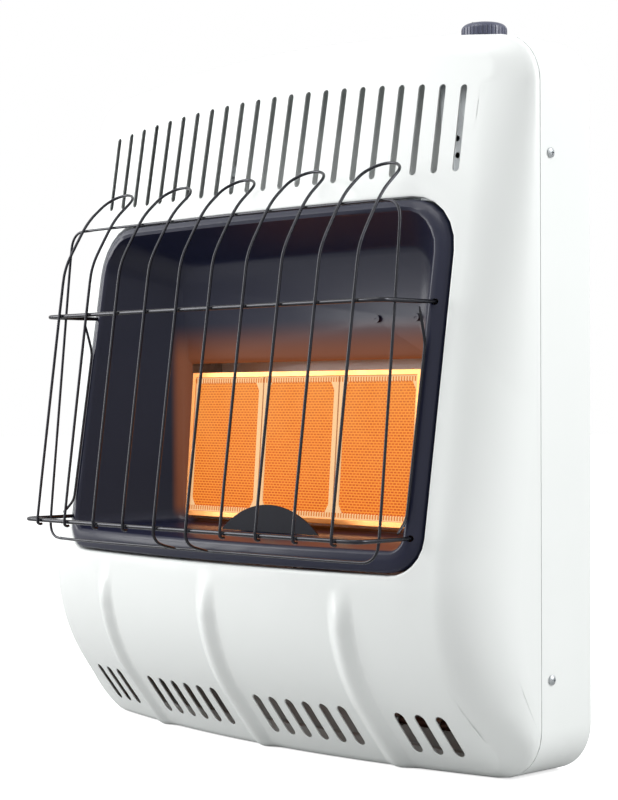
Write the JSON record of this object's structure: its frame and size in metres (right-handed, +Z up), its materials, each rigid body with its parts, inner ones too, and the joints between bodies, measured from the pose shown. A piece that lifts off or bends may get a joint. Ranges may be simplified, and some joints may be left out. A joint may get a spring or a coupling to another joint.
{
  "type": "vent-free gas wall heater",
  "caption": "White wall-hung gas heater: louvred casing with an arched top, dark firebox, glowing ceramic plaques, wire guard and a push-and-turn knob.",
  "frame": {"origin": "middle of the rear casing's flat underside", "axes": "+X to the right seen from the front, +Y back to the wall, +Z up"},
  "size_m": [0.5614, 0.2122, 0.6136],
  "materials": {
    "casing_white": "gloss powder coat",
    "galvanised": "galvanised, dull",
    "firebox_enamel": "semi-gloss dark enamel",
    "burner_steel": "heat-stained sheet",
    "glowing_ceramic": "matt honeycomb ceramic",
    "fibre_seal": "matt fibre",
    "brass": "machined",
    "die_cast": "die-cast, satin",
    "gas_tube": "drawn tube, satin",
    "stem_steel": "turned",
    "black_nylon": "matt",
    "knob_plastic": "satin",
    "white_ceramic": "glazed",
    "copper": "drawn",
    "lead_rubber": "matt",
    "guard_wire": "dark plated, glossy"
  },
  "bodies": {
    "heater": {"rear_casing": "casing_white", "front_cover": "casing_white", "side_screws": "galvanised", "cover_clips": "galvanised", "wall_bracket": "galvanised", "chassis_posts": "galvanised", "back_rail": "galvanised", "heat_deflector": "galvanised", "burner_brackets": "galvanised", "injector_bracket": "galvanised", "valve_bracket": "galvanised", "regulator_posts": "galvanised", "pilot_bracket": "galvanised", "bulb_clips": "galvanised", "firebox_pan": "firebox_enamel", "pilot_shield": "firebox_enamel", "pan_screws": "firebox_enamel", "burner_frame": "burner_steel", "burner_chamber": "burner_steel", "mixing_tube": "burner_steel", "plaque_left": "glowing_ceramic", "plaque_middle": "glowing_ceramic", "plaque_right": "glowing_ceramic", "tile_seals": "fibre_seal", "plaque_gasket": "fibre_seal", "injector": "brass", "tube_nuts": "brass", "magnet_unit": "brass", "inlet_fitting": "brass", "valve_body": "die_cast", "gas_regulator": "die_cast", "supply_tube": "gas_tube", "inlet_tube": "gas_tube", "pilot_tube": "gas_tube", "pilot_burner": "gas_tube", "thermocouple": "gas_tube", "stem_spring": "stem_steel", "knob_bush": "black_nylon", "piezo_igniter": "white_ceramic", "spark_electrode": "white_ceramic", "sensing_bulb": "copper", "capillary_tube": "copper", "thermocouple_lead": "copper", "igniter_lead": "lead_rubber", "hairpin_1": "guard_wire", "hairpin_2": "guard_wire", "hairpin_3": "guard_wire", "hairpin_4": "guard_wire", "hairpin_5": "guard_wire", "upper_bar": "guard_wire", "lower_bar": "guard_wire", "guard_ring": "guard_wire", "guard_side_wires": "guard_wire"},
    "plug": {"valve_plug": "brass"},
    "knob": {"control_knob": "knob_plastic", "valve_stem": "stem_steel", "stem_clip": "stem_steel"}
  },
  "joints": [
    {"name": "knob_turn", "type": "hinge", "parent": "heater", "child": "plug", "pos_m": [0.193, 0, 0.55], "axis": [0, 0, 1], "range_deg": [0, 270]},
    {"name": "knob_push", "type": "slide", "parent": "plug", "child": "knob", "axis": [0, 0, -1], "range_m": [0, 0.0035], "stiffness_N_per_m": 1500, "springref_m": -0.003, "deforming": ["stem_spring"]}
  ]
}
